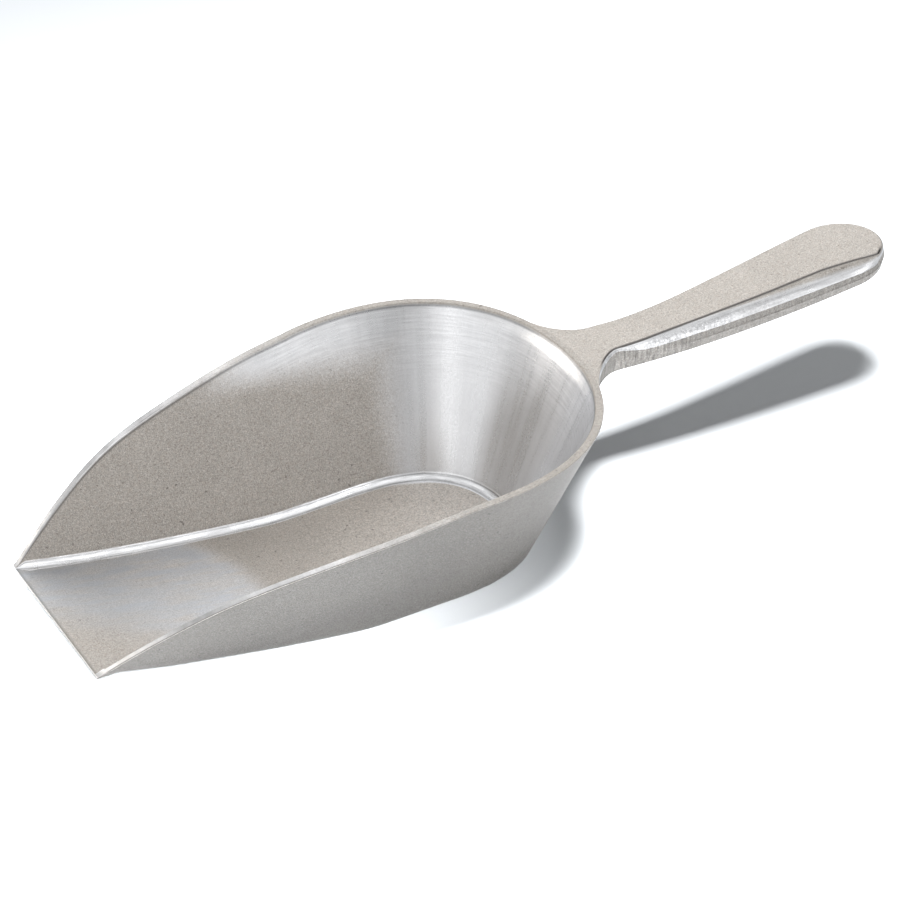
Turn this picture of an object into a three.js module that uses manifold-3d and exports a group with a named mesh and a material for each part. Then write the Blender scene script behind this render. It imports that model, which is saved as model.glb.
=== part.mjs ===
// A one-piece cast aluminium ice scoop: an open bowl with drafted walls and a ramped floor, and a
// flat, flared handle that runs on from the rim. Millimetres, +Z up. The pouring lip points to -X
// and the handle to +X; the origin is on the ground, under the middle of the whole length.
import * as THREE from 'three';
import { mergeVertices } from 'three/addons/utils/BufferGeometryUtils.js';
import Module from 'manifold-3d';

const wasm = await Module();
wasm.setup();

// ---------- driving dimensions ----------
// x runs from the pouring lip (0) to the end of the handle, z from the inner face of the flat floor.
const overallLength = 332;
const splitX = 214; // the narrowest place of the neck, where bowl and handle are divided

const lip = { halfWidth: 31.2, height: 17.8, thickness: 1.2, taperLength: 25 };
const floor = { length: 169.7, halfWidth: 33.7, thickness: 2.2 };
const nose = { start: 120, lead: 14.5, bulge: 5 }; // where the floor's sides turn into its round end
const ramp = { start: 105, bend: 12, slope: 0.122, curvature: 0.0006 };
const wall = { lipWidth: 2.3, rimWidth: 3, rimWidthFullAt: 90, filletInside: 4, filletOutside: 10 };
const draft = { side: THREE.MathUtils.degToRad(26), back: THREE.MathUtils.degToRad(22.6) };
const rimBackHeight = 58.4;
const neck = { flareRadius: 18, shoulder: 1, buriedX: 190, buriedDepth: 0.8 };
const rimBack = { centreX: 124.8, radius: 75 }; // the circle that the back of the rim runs on
const grip = { endCapLength: 18, edgeLean: 0.8, bottomChamfer: 1.2 };
const shoulderTurn = THREE.MathUtils.degToRad(72); // how far the rounded shoulder turns down
// The handle is not quite symmetric: the shoulder on its -Y side is wide and deep, the other one small.
const nearSide = { sign: -1, neckHalfWidth: 9.5, shoulderDrop: 2.4 };
const farSide = { sign: 1, neckHalfWidth: 9.4, shoulderDrop: 0.9 };

const filletRoom = 0.7; // the largest share of a wall's height that a fillet may take
const filletSteps = 5;
const wallSteps = 4;
const shoulderSteps = 3;

const castAluminium = { color: 0xc4c0ba, roughness: 0.5, metalness: 1 };

// ---------- small helpers ----------
const point = (x, y) => new THREE.Vector2(x, y);

// y of a curve that only ever moves towards +x, at a given x.
function heightAt(curve, x) {
  let low = 0;
  let high = 1;
  for (let step = 0; step < 40; step += 1) {
    const middle = (low + high) / 2;
    if (curve.getPoint(middle).x < x) low = middle;
    else high = middle;
  }
  return curve.getPoint(low).y;
}

// Joins closed rings of equal point count into one body. The first ring is closed by pairing each
// point with its opposite across the ring. The last one is closed the same way, unless its two
// halves already lie on each other.
function loft(rings, closeEnd) {
  const count = rings[0].length;
  const positions = rings.flat().flatMap((p) => [p.x, p.y, p.z]);
  const triangles = [];
  const quad = (a, b, c, d) => triangles.push([a, b, c], [a, c, d]);
  for (let r = 0; r + 1 < rings.length; r += 1) {
    for (let j = 0; j < count; j += 1) {
      const next = (j + 1) % count;
      quad(r * count + j, r * count + next, (r + 1) * count + next, (r + 1) * count + j);
    }
  }
  const cap = (first, flip) => {
    for (let j = 0; j + 1 < count / 2; j += 1) {
      const corners = [first + j, first + count - 1 - j, first + count - 2 - j, first + j + 1];
      quad(...(flip ? corners.reverse() : corners));
    }
  };
  cap(0, false);
  if (closeEnd) cap((rings.length - 1) * count, true);
  const geometry = new THREE.BufferGeometry();
  geometry.setAttribute('position', new THREE.Float32BufferAttribute(positions, 3));
  geometry.setIndex(triangles.flat());
  const merged = mergeVertices(geometry, 1e-4);
  const kept = [];
  for (let i = 0; i < merged.index.count; i += 3) {
    const corners = [0, 1, 2].map((k) => merged.index.getX(i + k));
    if (new Set(corners).size === 3) kept.push(...corners);
  }
  merged.setIndex(kept);
  return merged;
}

function toSolid(geometry) {
  return new wasm.Manifold(new wasm.Mesh({
    numProp: 3,
    vertProperties: new Float32Array(geometry.attributes.position.array),
    triVerts: new Uint32Array(geometry.index.array),
  }));
}

function toGeometry(solid) {
  const mesh = solid.getMesh();
  const geometry = new THREE.BufferGeometry();
  geometry.setAttribute('position', new THREE.BufferAttribute(mesh.vertProperties, 3));
  geometry.setIndex(new THREE.BufferAttribute(mesh.triVerts, 1));
  geometry.computeVertexNormals();
  return geometry;
}

// ---------- bowl ----------
// One half of the floor's outline in plan: a nearly straight side, then a blunt round nose.
const sideLine = new THREE.CubicBezierCurve(
  point(0, lip.halfWidth),
  point(nose.start / 3, lip.halfWidth),
  point((2 * nose.start) / 3, floor.halfWidth),
  point(nose.start, floor.halfWidth),
);
const noseLine = new THREE.CubicBezierCurve(
  point(nose.start, floor.halfWidth),
  point(nose.start + nose.lead, floor.halfWidth),
  point(floor.length, floor.halfWidth + nose.bulge),
  point(floor.length, 0),
);
// The rim in side view: steep from the lip, nearly straight along the sides, level at the back.
const rimLine = new THREE.SplineCurve([
  point(0, lip.height), point(20, 30.7), point(45, 42), point(80, 49.6), point(125, 56.1),
  point(170, 58.8),
]);

// The ramp that carries the floor up to the lip, with a soft bend at its foot.
function floorHeight(x) {
  const run = Math.max(ramp.start - x, 0);
  const bent = run < ramp.bend ? (run * run) / (2 * ramp.bend) : run - ramp.bend / 2;
  const past = Math.max(run - ramp.bend / 2, 0);
  return ramp.slope * bent + ramp.curvature * past * past;
}

// Height of the rim's ground top face over the flat floor.
function rimHeight(x) {
  return Math.min(heightAt(rimLine, x), rimBackHeight);
}

// The stations that the wall stands on: place and outward direction in plan.
function outlineStations() {
  const stations = [];
  const add = (curve, steps, from) => {
    for (let i = from; i <= steps; i += 1) {
      const at = curve.getPoint(i / steps);
      const along = curve.getTangent(i / steps);
      stations.push({ at, out: point(-along.y, along.x) });
    }
  };
  add(sideLine, 26, 0);
  add(noseLine, 26, 1);
  stations.at(-1).at.y = 0;
  stations.at(-1).out = point(1, 0);
  return stations;
}

// A fillet between a level line and a wall that leans out by `lean`, as [outwards, upwards] pairs
// from the point where the level line ends.
function filletPoints(radius, lean, steps) {
  const turn = Math.PI / 2 - lean;
  return Array.from({ length: steps + 1 }, (_, k) => {
    const angle = (turn * k) / steps;
    return [radius * Math.sin(angle), radius * (1 - Math.cos(angle))];
  });
}

// The wall at one station, as [outwards from the floor's edge, up from the floor] pairs: the inner
// face from floor to rim, or the outer face from the underside to the rim. depth moves the inner
// face into the metal, from 0 to 1.
function wallLine(station, outside, depth = 0) {
  const { at, out } = station;
  const lean = draft.side + (draft.back - draft.side) * Math.max(out.x, 0) ** 2;
  const height = Math.max(rimHeight(at.x) - floorHeight(at.x), 0);
  const grown = Math.min(at.x / wall.rimWidthFullAt, 1);
  const width = wall.lipWidth + (wall.rimWidth - wall.lipWidth) * grown;
  const thickness = floorThickness(at.x);
  const tangentShare = Math.tan((Math.PI / 2 - lean) / 2);
  const corner = wall.filletInside * tangentShare;
  const bottom = outside ? -thickness : -thickness * depth;
  const top = corner + height * Math.tan(lean) + (outside ? width : width * depth);
  const sharp = top - (height - bottom) * Math.tan(lean);
  const room = (filletRoom * (height - bottom)) / (tangentShare * Math.cos(lean));
  const radius = Math.min(outside ? wall.filletOutside : wall.filletInside, room);
  const start = sharp - radius * tangentShare;
  const line = filletPoints(radius, lean, filletSteps)
    .map(([away, up]) => [start + away, Math.min(bottom + up, height)]);
  const [footAway, footUp] = line.at(-1);
  for (let k = 1; k <= wallSteps; k += 1) {
    const share = k / wallSteps;
    line.push([footAway + (top - footAway) * share, footUp + (height - footUp) * share]);
  }
  return line;
}

function floorThickness(x) {
  const share = Math.min(x / lip.taperLength, 1);
  return lip.thickness + (floor.thickness - lip.thickness) * share;
}

function wallPoint(station, [away, up], side) {
  const { at, out } = station;
  return new THREE.Vector3(
    at.x + out.x * away,
    side * Math.max(at.y + out.y * away, 0),
    floorHeight(at.x) + up,
  );
}

// One closed ring round the metal: inner face from the left rim down, over and up to the right
// rim, then back along the outer face.
function shellRing(station) {
  const inner = wallLine(station, false);
  const outer = wallLine(station, true);
  const across = (line) => [
    ...line.map((p) => wallPoint(station, p, 1)).reverse(),
    ...line.map((p) => wallPoint(station, p, -1)),
  ];
  return [...across(inner), ...across(outer).reverse()];
}

// The space inside the bowl and half the wall's depth, up past the rim: what the neck is cut by.
function cavityRing(station) {
  const line = wallLine(station, false, 0.5);
  const clearance = 5;
  const edge = line.at(-1);
  line.push([edge[0] + clearance * Math.tan(draft.back), edge[1] + clearance]);
  return [
    ...line.map((p) => wallPoint(station, p, -1)).reverse(),
    ...line.map((p) => wallPoint(station, p, 1)),
  ];
}

// ---------- neck and handle ----------
// Side view: the top face dips a little after the neck, then rises to the end, and the underside
// follows it.
const topLine = new THREE.SplineCurve([
  point(180, rimBackHeight), point(200, rimBackHeight), point(splitX, 57.9), point(230, 57.5),
  point(255, 58.8), point(290, 61.6), point(overallLength, 65.2),
]);
const undersideLine = new THREE.SplineCurve([
  point(180, 47.8), point(splitX, 48.2), point(250, 49.5), point(290, 52.9), point(overallLength, 58),
]);
// Plan view: half-widths from the neck to the full width, and of the crease on the -Y side of the flat top.
const capStart = overallLength - grip.endCapLength;
nearSide.line = new THREE.SplineCurve([
  point(206, 10.2), point(splitX, nearSide.neckHalfWidth), point(222, 10.4), point(235, 11.7),
  point(262, 14), point(290, 15.7), point(capStart, 16.8),
]);
farSide.line = new THREE.SplineCurve([
  point(206, 10), point(splitX, farSide.neckHalfWidth), point(225, 9.4), point(243, 10.3),
  point(261, 11.9), point(285, 14.4), point(300, 16.1), point(capStart, 17.3),
]);
const creaseLine = new THREE.SplineCurve([
  point(200, 9), point(splitX, 8.5), point(225, 7.9), point(235, 7.5), point(255, 7.9),
  point(275, 8.6), point(295, 8.9), point(305, 9.4), point(overallLength, 14),
]);

// The neck grows out of the bowl's drafted back in a round flare on each side. Further down, the
// wall stands further in, and the flare follows it. Inside the wall the neck stays buried.
function neckHalfWidth(x, depth, side) {
  const backRadius = rimBack.radius - depth * Math.tan(draft.back);
  const centreY = side.neckHalfWidth + neck.flareRadius;
  const reach = backRadius + neck.flareRadius;
  const centreX = rimBack.centreX + Math.sqrt(reach ** 2 - centreY ** 2);
  const tangentX = rimBack.centreX + ((centreX - rimBack.centreX) * backRadius) / reach;
  if (x >= centreX) return side.neckHalfWidth;
  if (x >= tangentX) return centreY - Math.sqrt(neck.flareRadius ** 2 - (centreX - x) ** 2);
  return Math.sqrt((backRadius - neck.buriedDepth) ** 2 - (x - rimBack.centreX) ** 2);
}

// How far the outline stands from the middle plane on one side, at a depth under the top face.
// The round end is half an ellipse, and both sides meet at its tip.
function outlineWidth(x, depth, side) {
  if (x < splitX) return neckHalfWidth(x, depth, side);
  if (x <= capStart) return heightAt(side.line, x);
  const nearWidth = heightAt(nearSide.line, capStart);
  const farWidth = heightAt(farSide.line, capStart);
  const past = (x - capStart) / grip.endCapLength;
  const round = Math.sqrt(Math.max(1 - past * past, 0));
  return (round * (nearWidth + farWidth) + side.sign * (farWidth - nearWidth)) / 2;
}

// One side of the ring across the handle: crease, rounded shoulder, side face and bottom chamfer,
// as [away from the middle plane, height] pairs.
function gripHalf(x, side) {
  const top = heightAt(topLine, x);
  const underside = heightAt(undersideLine, x);
  const width = outlineWidth(x, 0, side);
  const middle = (side.sign * (outlineWidth(x, 0, farSide) - outlineWidth(x, 0, nearSide))) / 2;
  const wide = side === nearSide && x >= splitX;
  const crease = Math.max(Math.min(wide ? heightAt(creaseLine, x) : width, width - neck.shoulder), middle);
  const drop = Math.min(side.shoulderDrop, filletRoom * (width - crease));
  const foot = Math.max(outlineWidth(x, top - underside, side) - grip.edgeLean, middle);
  const half = [[crease, top]];
  for (let k = 1; k <= shoulderSteps; k += 1) {
    const turn = shoulderTurn * (k / shoulderSteps);
    const share = Math.sin(turn) / Math.sin(shoulderTurn);
    const fall = (1 - Math.cos(turn)) / (1 - Math.cos(shoulderTurn));
    half.push([crease + (width - crease) * share, top - drop * fall]);
  }
  half.push([foot, underside + grip.bottomChamfer]);
  half.push([Math.max(foot - grip.bottomChamfer, middle), underside]);
  return half.map(([away, z]) => new THREE.Vector3(x, side.sign * away, z));
}

function gripRing(x) {
  return [...gripHalf(x, nearSide), ...gripHalf(x, farSide).reverse()];
}

function gripSolid(places) {
  const rings = places.map(gripRing);
  return loft(rings, true);
}

const spread = (from, to, steps) => Array.from(
  { length: steps + 1 },
  (_, k) => from + ((to - from) * k) / steps,
);

// Stations close up towards the round end, where the outline turns.
function endCapPlaces(from, to, steps) {
  return Array.from(
    { length: steps },
    (_, k) => from + (to - from) * Math.sin((Math.PI / 2) * ((k + 1) / steps)),
  );
}

function makeBowl() {
  const stations = outlineStations();
  const shell = toSolid(loft(stations.map(shellRing), false));
  const cavity = toSolid(loft(stations.map(cavityRing), false));
  const root = toSolid(gripSolid(spread(neck.buriedX, splitX, 24)));
  return toGeometry(shell.add(root.subtract(cavity)));
}

function makeHandle() {
  return gripSolid([
    ...spread(splitX, capStart, 24),
    ...endCapPlaces(capStart, overallLength, 14),
  ]);
}

// ---------- assembly ----------
function part(name, geometry) {
  const mesh = new THREE.Mesh(geometry, new THREE.MeshStandardMaterial(castAluminium));
  mesh.name = name;
  mesh.position.set(-overallLength / 2, 0, floor.thickness);
  return mesh;
}

const scoop = new THREE.Group();
scoop.add(part('bowl', makeBowl()));
scoop.add(part('handle', makeHandle()));

export default scoop;
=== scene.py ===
import math
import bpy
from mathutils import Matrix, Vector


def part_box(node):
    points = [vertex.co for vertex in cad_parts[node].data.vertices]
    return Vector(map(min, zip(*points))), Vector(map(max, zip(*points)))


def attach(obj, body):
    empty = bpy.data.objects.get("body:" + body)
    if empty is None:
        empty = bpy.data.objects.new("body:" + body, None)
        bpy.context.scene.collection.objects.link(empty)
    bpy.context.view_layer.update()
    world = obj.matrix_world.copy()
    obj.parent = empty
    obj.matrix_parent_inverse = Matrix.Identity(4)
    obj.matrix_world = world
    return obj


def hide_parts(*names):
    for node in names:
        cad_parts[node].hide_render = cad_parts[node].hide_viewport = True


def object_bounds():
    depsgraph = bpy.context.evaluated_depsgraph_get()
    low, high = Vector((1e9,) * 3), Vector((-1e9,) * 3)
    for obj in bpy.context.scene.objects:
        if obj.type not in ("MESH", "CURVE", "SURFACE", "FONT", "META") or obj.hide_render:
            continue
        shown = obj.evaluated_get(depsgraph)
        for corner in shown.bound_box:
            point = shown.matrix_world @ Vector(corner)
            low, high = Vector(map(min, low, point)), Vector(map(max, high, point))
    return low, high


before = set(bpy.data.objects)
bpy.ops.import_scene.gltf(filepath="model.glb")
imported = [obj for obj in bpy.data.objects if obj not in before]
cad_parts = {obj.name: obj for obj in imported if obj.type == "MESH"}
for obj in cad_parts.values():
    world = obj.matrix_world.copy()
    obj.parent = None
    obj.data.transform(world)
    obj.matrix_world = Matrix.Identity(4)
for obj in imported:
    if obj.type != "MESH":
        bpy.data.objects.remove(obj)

from types import SimpleNamespace

import bpy
import numpy as np
from mathutils import Matrix, Vector, noise

CAD_BOX = [list(corner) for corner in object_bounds()]

# A cast aluminium ice scoop. Shapes are worked out in millimetres: x from the lip to the handle's end,
# y across, and z from the inner face of the flat floor. in_frame() puts them in the frame.
# Angles round the bowl's back are in degrees from the handle, positive on the far side (+y).
# A pair named START, END, FADE, CHANGE or NARROWING holds the two limits of one gradual change.

# Over all.
FLOOR_THICKNESS = 2.2
OVERALL_LENGTH = (CAD_BOX[1][0] - CAD_BOX[0][0]) * 1000
SPLIT_X = (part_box("handle")[0][0] - CAD_BOX[0][0]) * 1000
HANDLE_END_TOP = (CAD_BOX[1][2] - CAD_BOX[0][2]) * 1000 - FLOOR_THICKNESS

# The floor's outline, and the ramp from the flat floor down to the lip's own height.
LIP_HALF_WIDTH = 31.2
LIP_THICKNESS = 1.2
LIP_TAPER_LENGTH = 25
FLOOR_HALF_WIDTH = 33.7
FLOOR_LENGTH = 169.7
NOSE_START = 120
NOSE_LEAD = 14.5
NOSE_BULGE = 5
RAMP_START = 105
RAMP_BEND = 12
RAMP_SLOPE = 0.122
RAMP_CURVATURE = 0.0006

# The walls and the rim.
RIM_BACK_HEIGHT = 58.4
RIM_BACK_CENTRE = 124.8
RIM_WIDTH_AT_LIP = 2.3
RIM_WIDTH = 3.0
RIM_WIDTH_FULL_AT = 90
RIM_INNER_EDGE = 0.25
RIM_OUTER_EDGE_BACK = 0.35
RIM_OUTER_EDGE_LIP = 0.6
FULL_EDGE_HEIGHT = 4
LEAST_WALL_HEIGHT = 0.15
INNER_FILLET = 4
OUTER_FILLET = 10
FILLET_ROOM = 0.7
DRAFT_SIDE = math.radians(26)
DRAFT_BACK = math.radians(22.6)
GROUND_BAND_DEPTH = 3.7
GROUND_BAND_GREATEST_SHARE = 0.3
GROUND_BAND_CUT = 0.7
GROUND_BAND_FIRST_CUT = 0.25
GROUND_BAND_START = (-34, -12)
GROUND_BAND_END = (14, 38)
OUTER_EDGE_CHANGE = (40, 130)

# Where the handle's flare leaves the rim, and how deep its root is. A flare's reach is how far it keeps
# its direction, first from the rim and then before the split.
NEAR_FLARE_ANGLE = -24
FAR_FLARE_ANGLE = 17
NEAR_FLARE_REACH = (11, 5)
FAR_FLARE_REACH = (7.9, 7.9)
BELOW_FLARE_REACH = 4
NEAR_LOW_REACH_SHARE = 0.45
MIDDLE_REACH_SHARE = 0.6
LOW_REACH_GAIN = 0.35
LOW_REACH_LIMIT = 10
CORNER_TURN = 0.5
SIDE_CORNER_START = 0.55
BELOW_CORNER_START = 0.75
ROOT_DEPTH = 10.3
ROOT_GREATEST_SHARE = 0.4
NEAR_ROOT_CUT = 0.45
NEAR_ROOT_CUT_START = 12

# The handle's section.
END_CAP_LENGTH = 18
SHOULDER_DROP = 2.4
FAR_SHOULDER_DROP = 0.9
STEEPEST_SHOULDER = 0.85
LEAST_SHOULDER = 1.0
TIP_SHOULDER = 1.4
TIP_SHOULDER_FROM = 240
EVEN_DROP_FROM = 324
SHOULDER_CURVE = 1.35
SHOULDER_CURVE_RISE = 0.85
SHOULDER_CURVE_CHANGE = (225, 275)
EDGE_LEAN = 0.5
EDGE_INSET = 0.3
BOTTOM_ROUND = 1.1
PARTING_SHARE = 0.5
PARTING_RIDGE = 0.09
CREASE_DEPTH = 0.5
CREASE_HALF_WIDTH = 0.42
CREASE_GREATEST_SHARE = 0.3
CREASE_START = (201, 207)
CREASE_END = (325, 328)
GRINDING_END = 242
SHARP_ANGLE = math.radians(40)

# How far the casting's faces wander from true, in long waves and in short ones.
LONG_WAVE_HEIGHT = 0.05
LONG_WAVE_LENGTH = 22
SHORT_WAVE_HEIGHT = 0.02
SHORT_WAVE_LENGTH = 7
SHORT_WAVE_SHIFT = Vector((9, 2, 5))

# How finely the surface is divided.
CURVE_STEPS = 400
SIDE_STATIONS = 90
NOSE_STATIONS = 120
FLOOR_COLUMNS = 44
FILLET_ROWS = 10
INNER_WALL_ROWS = 34
BAND_ROWS = 5
EDGE_ROWS = 3
RIM_ROWS = 5
ROOT_ROWS = 20
OUTER_WALL_ROWS = 24
OUTER_FILLET_ROWS = 10
NECK_STEPS = 26
GRIP_STEPS = 104
CAP_STEPS = 34
SHOULDER_STEPS = 8
BOTTOM_STEPS = 5
UPPER_SIDE_SHARES = (0.06, 0.35, 0.65, 0.9)
LOWER_SIDE_SHARES = (0.08, 0.4, 0.7, 1)


# ---------------------------------------------------------------- curves

def shares(count):
    """Evenly spaced from 0 to 1, in that many steps."""
    return np.linspace(0, 1, count + 1)


def quarter_turns(count):
    """Angles over a quarter turn, without the first."""
    return np.linspace(0, math.pi / 2, count + 1)[1:]


def unit(v):
    return v / np.linalg.norm(v, axis=-1, keepdims=True)


def smooth(edge0, edge1, x):
    """0 below edge0, 1 above edge1, and smooth between."""
    t = np.clip((np.asarray(x, float) - edge0) / (edge1 - edge0), 0, 1)
    return t * t * (3 - 2 * t)


def span(start, end, x):
    """0, then 1, then 0 again: it rises over the pair of limits start, and falls over the pair end."""
    return smooth(*start, x) * (1 - smooth(*end, x))


def bezier(points, t):
    """Points of a cubic Bezier curve at the parameters t, and its direction there."""
    a, b, c, d = (np.asarray(p, float) for p in points)
    t = np.asarray(t, float)[..., None]
    s = 1 - t
    at = a * s**3 + 3 * b * s * s * t + 3 * c * s * t * t + d * t**3
    way = 3 * (b - a) * s * s + 6 * (c - b) * s * t + 3 * (d - c) * t * t
    return at, way


def curve_through(points):
    """A smooth curve through points (uniform Catmull-Rom), as a function that gives y at x."""
    p = np.asarray(points, float)
    p = np.vstack([p[:1], p, p[-1:]])
    t = np.linspace(0, 1, CURVE_STEPS)[:, None]
    pieces = []
    for a, b, c, d in zip(p, p[1:], p[2:], p[3:]):
        v, w = (c - a) / 2, (d - b) / 2
        pieces.append((2 * b - 2 * c + v + w) * t**3 + (3 * c - 3 * b - 2 * v - w) * t**2 + v * t + b)
    line = np.vstack(pieces)
    return lambda x: np.interp(x, line[:, 0], line[:, 1])


rim_line = curve_through([(0, 17.8), (20, 30.7), (45, 42), (80, 49.6), (125, 56.1), (170, 58.8)])
grip_top = curve_through([
    (180, 58.4), (200, 58.4), (214, 57.9), (230, 57.5), (255, 58.8), (290, 61.6),
    (OVERALL_LENGTH, HANDLE_END_TOP),
])
grip_underside = curve_through([
    (180, 47.8), (214, 48.2), (250, 49.5), (290, 52.9), (OVERALL_LENGTH, 58),
])
near_line = curve_through([
    (206, 10.2), (214, 9.5), (222, 10.4), (235, 11.7), (262, 14), (290, 15.7), (314, 16.8),
])
far_line = curve_through([
    (206, 10), (214, 9.4), (225, 9.4), (243, 10.3), (261, 11.9), (285, 14.4), (300, 16.1), (314, 17.3),
])
crease_line = curve_through([
    (200, 9), (214, 8.5), (225, 7.9), (235, 7.5), (255, 7.9), (275, 8.6), (295, 8.9), (305, 9.4),
    (OVERALL_LENGTH, 14),
])


def floor_height(x):
    run = np.maximum(RAMP_START - x, 0)
    bent = np.where(run < RAMP_BEND, run * run / (2 * RAMP_BEND), run - RAMP_BEND / 2)
    past = np.maximum(run - RAMP_BEND / 2, 0)
    return RAMP_SLOPE * bent + RAMP_CURVATURE * past * past


def floor_thickness(x):
    return LIP_THICKNESS + (FLOOR_THICKNESS - LIP_THICKNESS) * np.minimum(x / LIP_TAPER_LENGTH, 1)


def back_angle(points):
    """Degrees round the bowl's back from the handle."""
    return np.degrees(np.arctan2(points[..., 1], points[..., 0] - RIM_BACK_CENTRE))


def crease_share(x):
    """1 along the handle's crease, and 0 past its ends."""
    return span(CREASE_START, CREASE_END, x)


# ---------------------------------------------------------------- sections

class Section:
    """Collects the rows of a section that changes along an outline: offsets outwards, and heights."""

    def __init__(self, x):
        self.shape = x.shape
        self.offsets = []
        self.heights = []

    def add(self, offset, z):
        self.offsets.append(np.broadcast_to(offset, self.shape))
        self.heights.append(np.broadcast_to(z, self.shape))

    def last_row(self):
        return len(self.offsets) - 1

    def place_on(self, points, out):
        """3-D points (station, row) of the section, standing on a plan outline."""
        offsets, heights = np.stack(self.offsets, 1), np.stack(self.heights, 1)
        xy = points[:, None, :] + out[:, None, :] * offsets[:, :, None]
        return np.concatenate([xy, heights[:, :, None]], 2)


# ---------------------------------------------------------------- the bowl's walls

def bowl_stations():
    """The floor's outline from the lip's near corner round the back to the far one: points and outward
    normals."""
    side, side_way = bezier(
        [
            (0, LIP_HALF_WIDTH),
            (NOSE_START / 3, LIP_HALF_WIDTH),
            (NOSE_START * 2 / 3, FLOOR_HALF_WIDTH),
            (NOSE_START, FLOOR_HALF_WIDTH),
        ],
        shares(SIDE_STATIONS),
    )
    nose, nose_way = bezier(
        [
            (NOSE_START, FLOOR_HALF_WIDTH),
            (NOSE_START + NOSE_LEAD, FLOOR_HALF_WIDTH),
            (FLOOR_LENGTH, FLOOR_HALF_WIDTH + NOSE_BULGE),
            (FLOOR_LENGTH, 0),
        ],
        shares(NOSE_STATIONS)[1:],
    )
    points = np.vstack([side, nose])
    way = unit(np.vstack([side_way, nose_way]))
    out = np.column_stack([-way[:, 1], way[:, 0]])
    mirror = np.array([1, -1])
    return np.vstack([points * mirror, points[-2::-1]]), np.vstack([out * mirror, out[-2::-1]])


def wall_measures(points, out):
    """What the wall's section is worked out from, at each station."""
    x = points[:, 0]
    m = SimpleNamespace()
    m.lean = DRAFT_SIDE + (DRAFT_BACK - DRAFT_SIDE) * np.maximum(out[:, 0], 0) ** 2
    m.turn = math.pi / 2 - m.lean
    m.height = np.maximum(np.minimum(rim_line(x), RIM_BACK_HEIGHT) - floor_height(x), LEAST_WALL_HEIGHT)
    m.width = RIM_WIDTH_AT_LIP + (RIM_WIDTH - RIM_WIDTH_AT_LIP) * np.minimum(x / RIM_WIDTH_FULL_AT, 1)
    m.thickness = floor_thickness(x)
    m.inner_top = INNER_FILLET * np.tan(m.turn / 2) + m.height * np.tan(m.lean)
    small = np.minimum(1, m.height / FULL_EDGE_HEIGHT)
    m.inner_edge = RIM_INNER_EDGE * small
    back_share = smooth(*OUTER_EDGE_CHANGE, x)
    m.outer_edge = (RIM_OUTER_EDGE_LIP + (RIM_OUTER_EDGE_BACK - RIM_OUTER_EDGE_LIP) * back_share) * small
    m.angle = back_angle(points + out * m.inner_top[:, None])
    m.cut = GROUND_BAND_CUT * span(GROUND_BAND_START, GROUND_BAND_END, m.angle)
    return m


def wall_fillet(m, top, bottom, wanted):
    """The fillet between a floor at bottom and the wall that reaches top: where it starts, its radius, and
    the offset and height where it meets the wall."""
    share = np.tan(m.turn / 2)
    sharp = top - (m.height - bottom) * np.tan(m.lean)
    room = FILLET_ROOM * (m.height - bottom) / (share * np.cos(m.lean))
    radius = np.minimum(wanted, room)
    start = sharp - radius * share
    return start, radius, start + radius * np.sin(m.turn), bottom + radius * (1 - np.cos(m.turn))


def add_inside(section, m, marks):
    """From the floor's edge up the fillet and the wall, over the ground band to the rim."""
    start, radius, foot, foot_z = wall_fillet(m, m.inner_top, 0, INNER_FILLET)
    for a in shares(FILLET_ROWS):
        section.add(start + radius * np.sin(a * m.turn), radius * (1 - np.cos(a * m.turn)))
    marks["fillet_end"] = section.last_row()
    band_z = m.height - np.minimum(GROUND_BAND_DEPTH, GROUND_BAND_GREATEST_SHARE * m.height)
    edge_z = m.height - m.inner_edge
    for a in shares(INNER_WALL_ROWS)[1:]:
        z = foot_z + (band_z - foot_z) * a
        section.add(foot + (z - foot_z) * np.tan(m.lean), z)
    marks["band"] = section.last_row()
    for a in shares(BAND_ROWS)[1:]:
        z = band_z + (edge_z - band_z) * a
        cut = m.cut * (GROUND_BAND_FIRST_CUT + (1 - GROUND_BAND_FIRST_CUT) * a)
        section.add(foot + (z - foot_z) * np.tan(m.lean) + cut, z)
    marks["inner_edge"] = section.last_row()


def add_rim(section, m, marks):
    """Over the flat rim, with its two small rounded edges."""
    edge_z = m.height - m.inner_edge
    for a in quarter_turns(EDGE_ROWS):
        section.add(m.inner_top + m.cut + m.inner_edge * (1 - np.cos(a)), edge_z + m.inner_edge * np.sin(a))
    marks["rim"] = section.last_row()
    rim_start = m.inner_top + m.cut + m.inner_edge
    rim_end = m.inner_top + m.width - m.outer_edge
    for a in shares(RIM_ROWS)[1:]:
        section.add(rim_start + (rim_end - rim_start) * a, m.height)
    marks["outer_edge"] = section.last_row()
    for a in quarter_turns(EDGE_ROWS):
        fall = m.outer_edge * (1 - np.cos(a))
        section.add(rim_end + m.outer_edge * np.sin(a) - fall * np.tan(m.lean), m.height - fall)
    marks["outer_wall"] = section.last_row()


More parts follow.
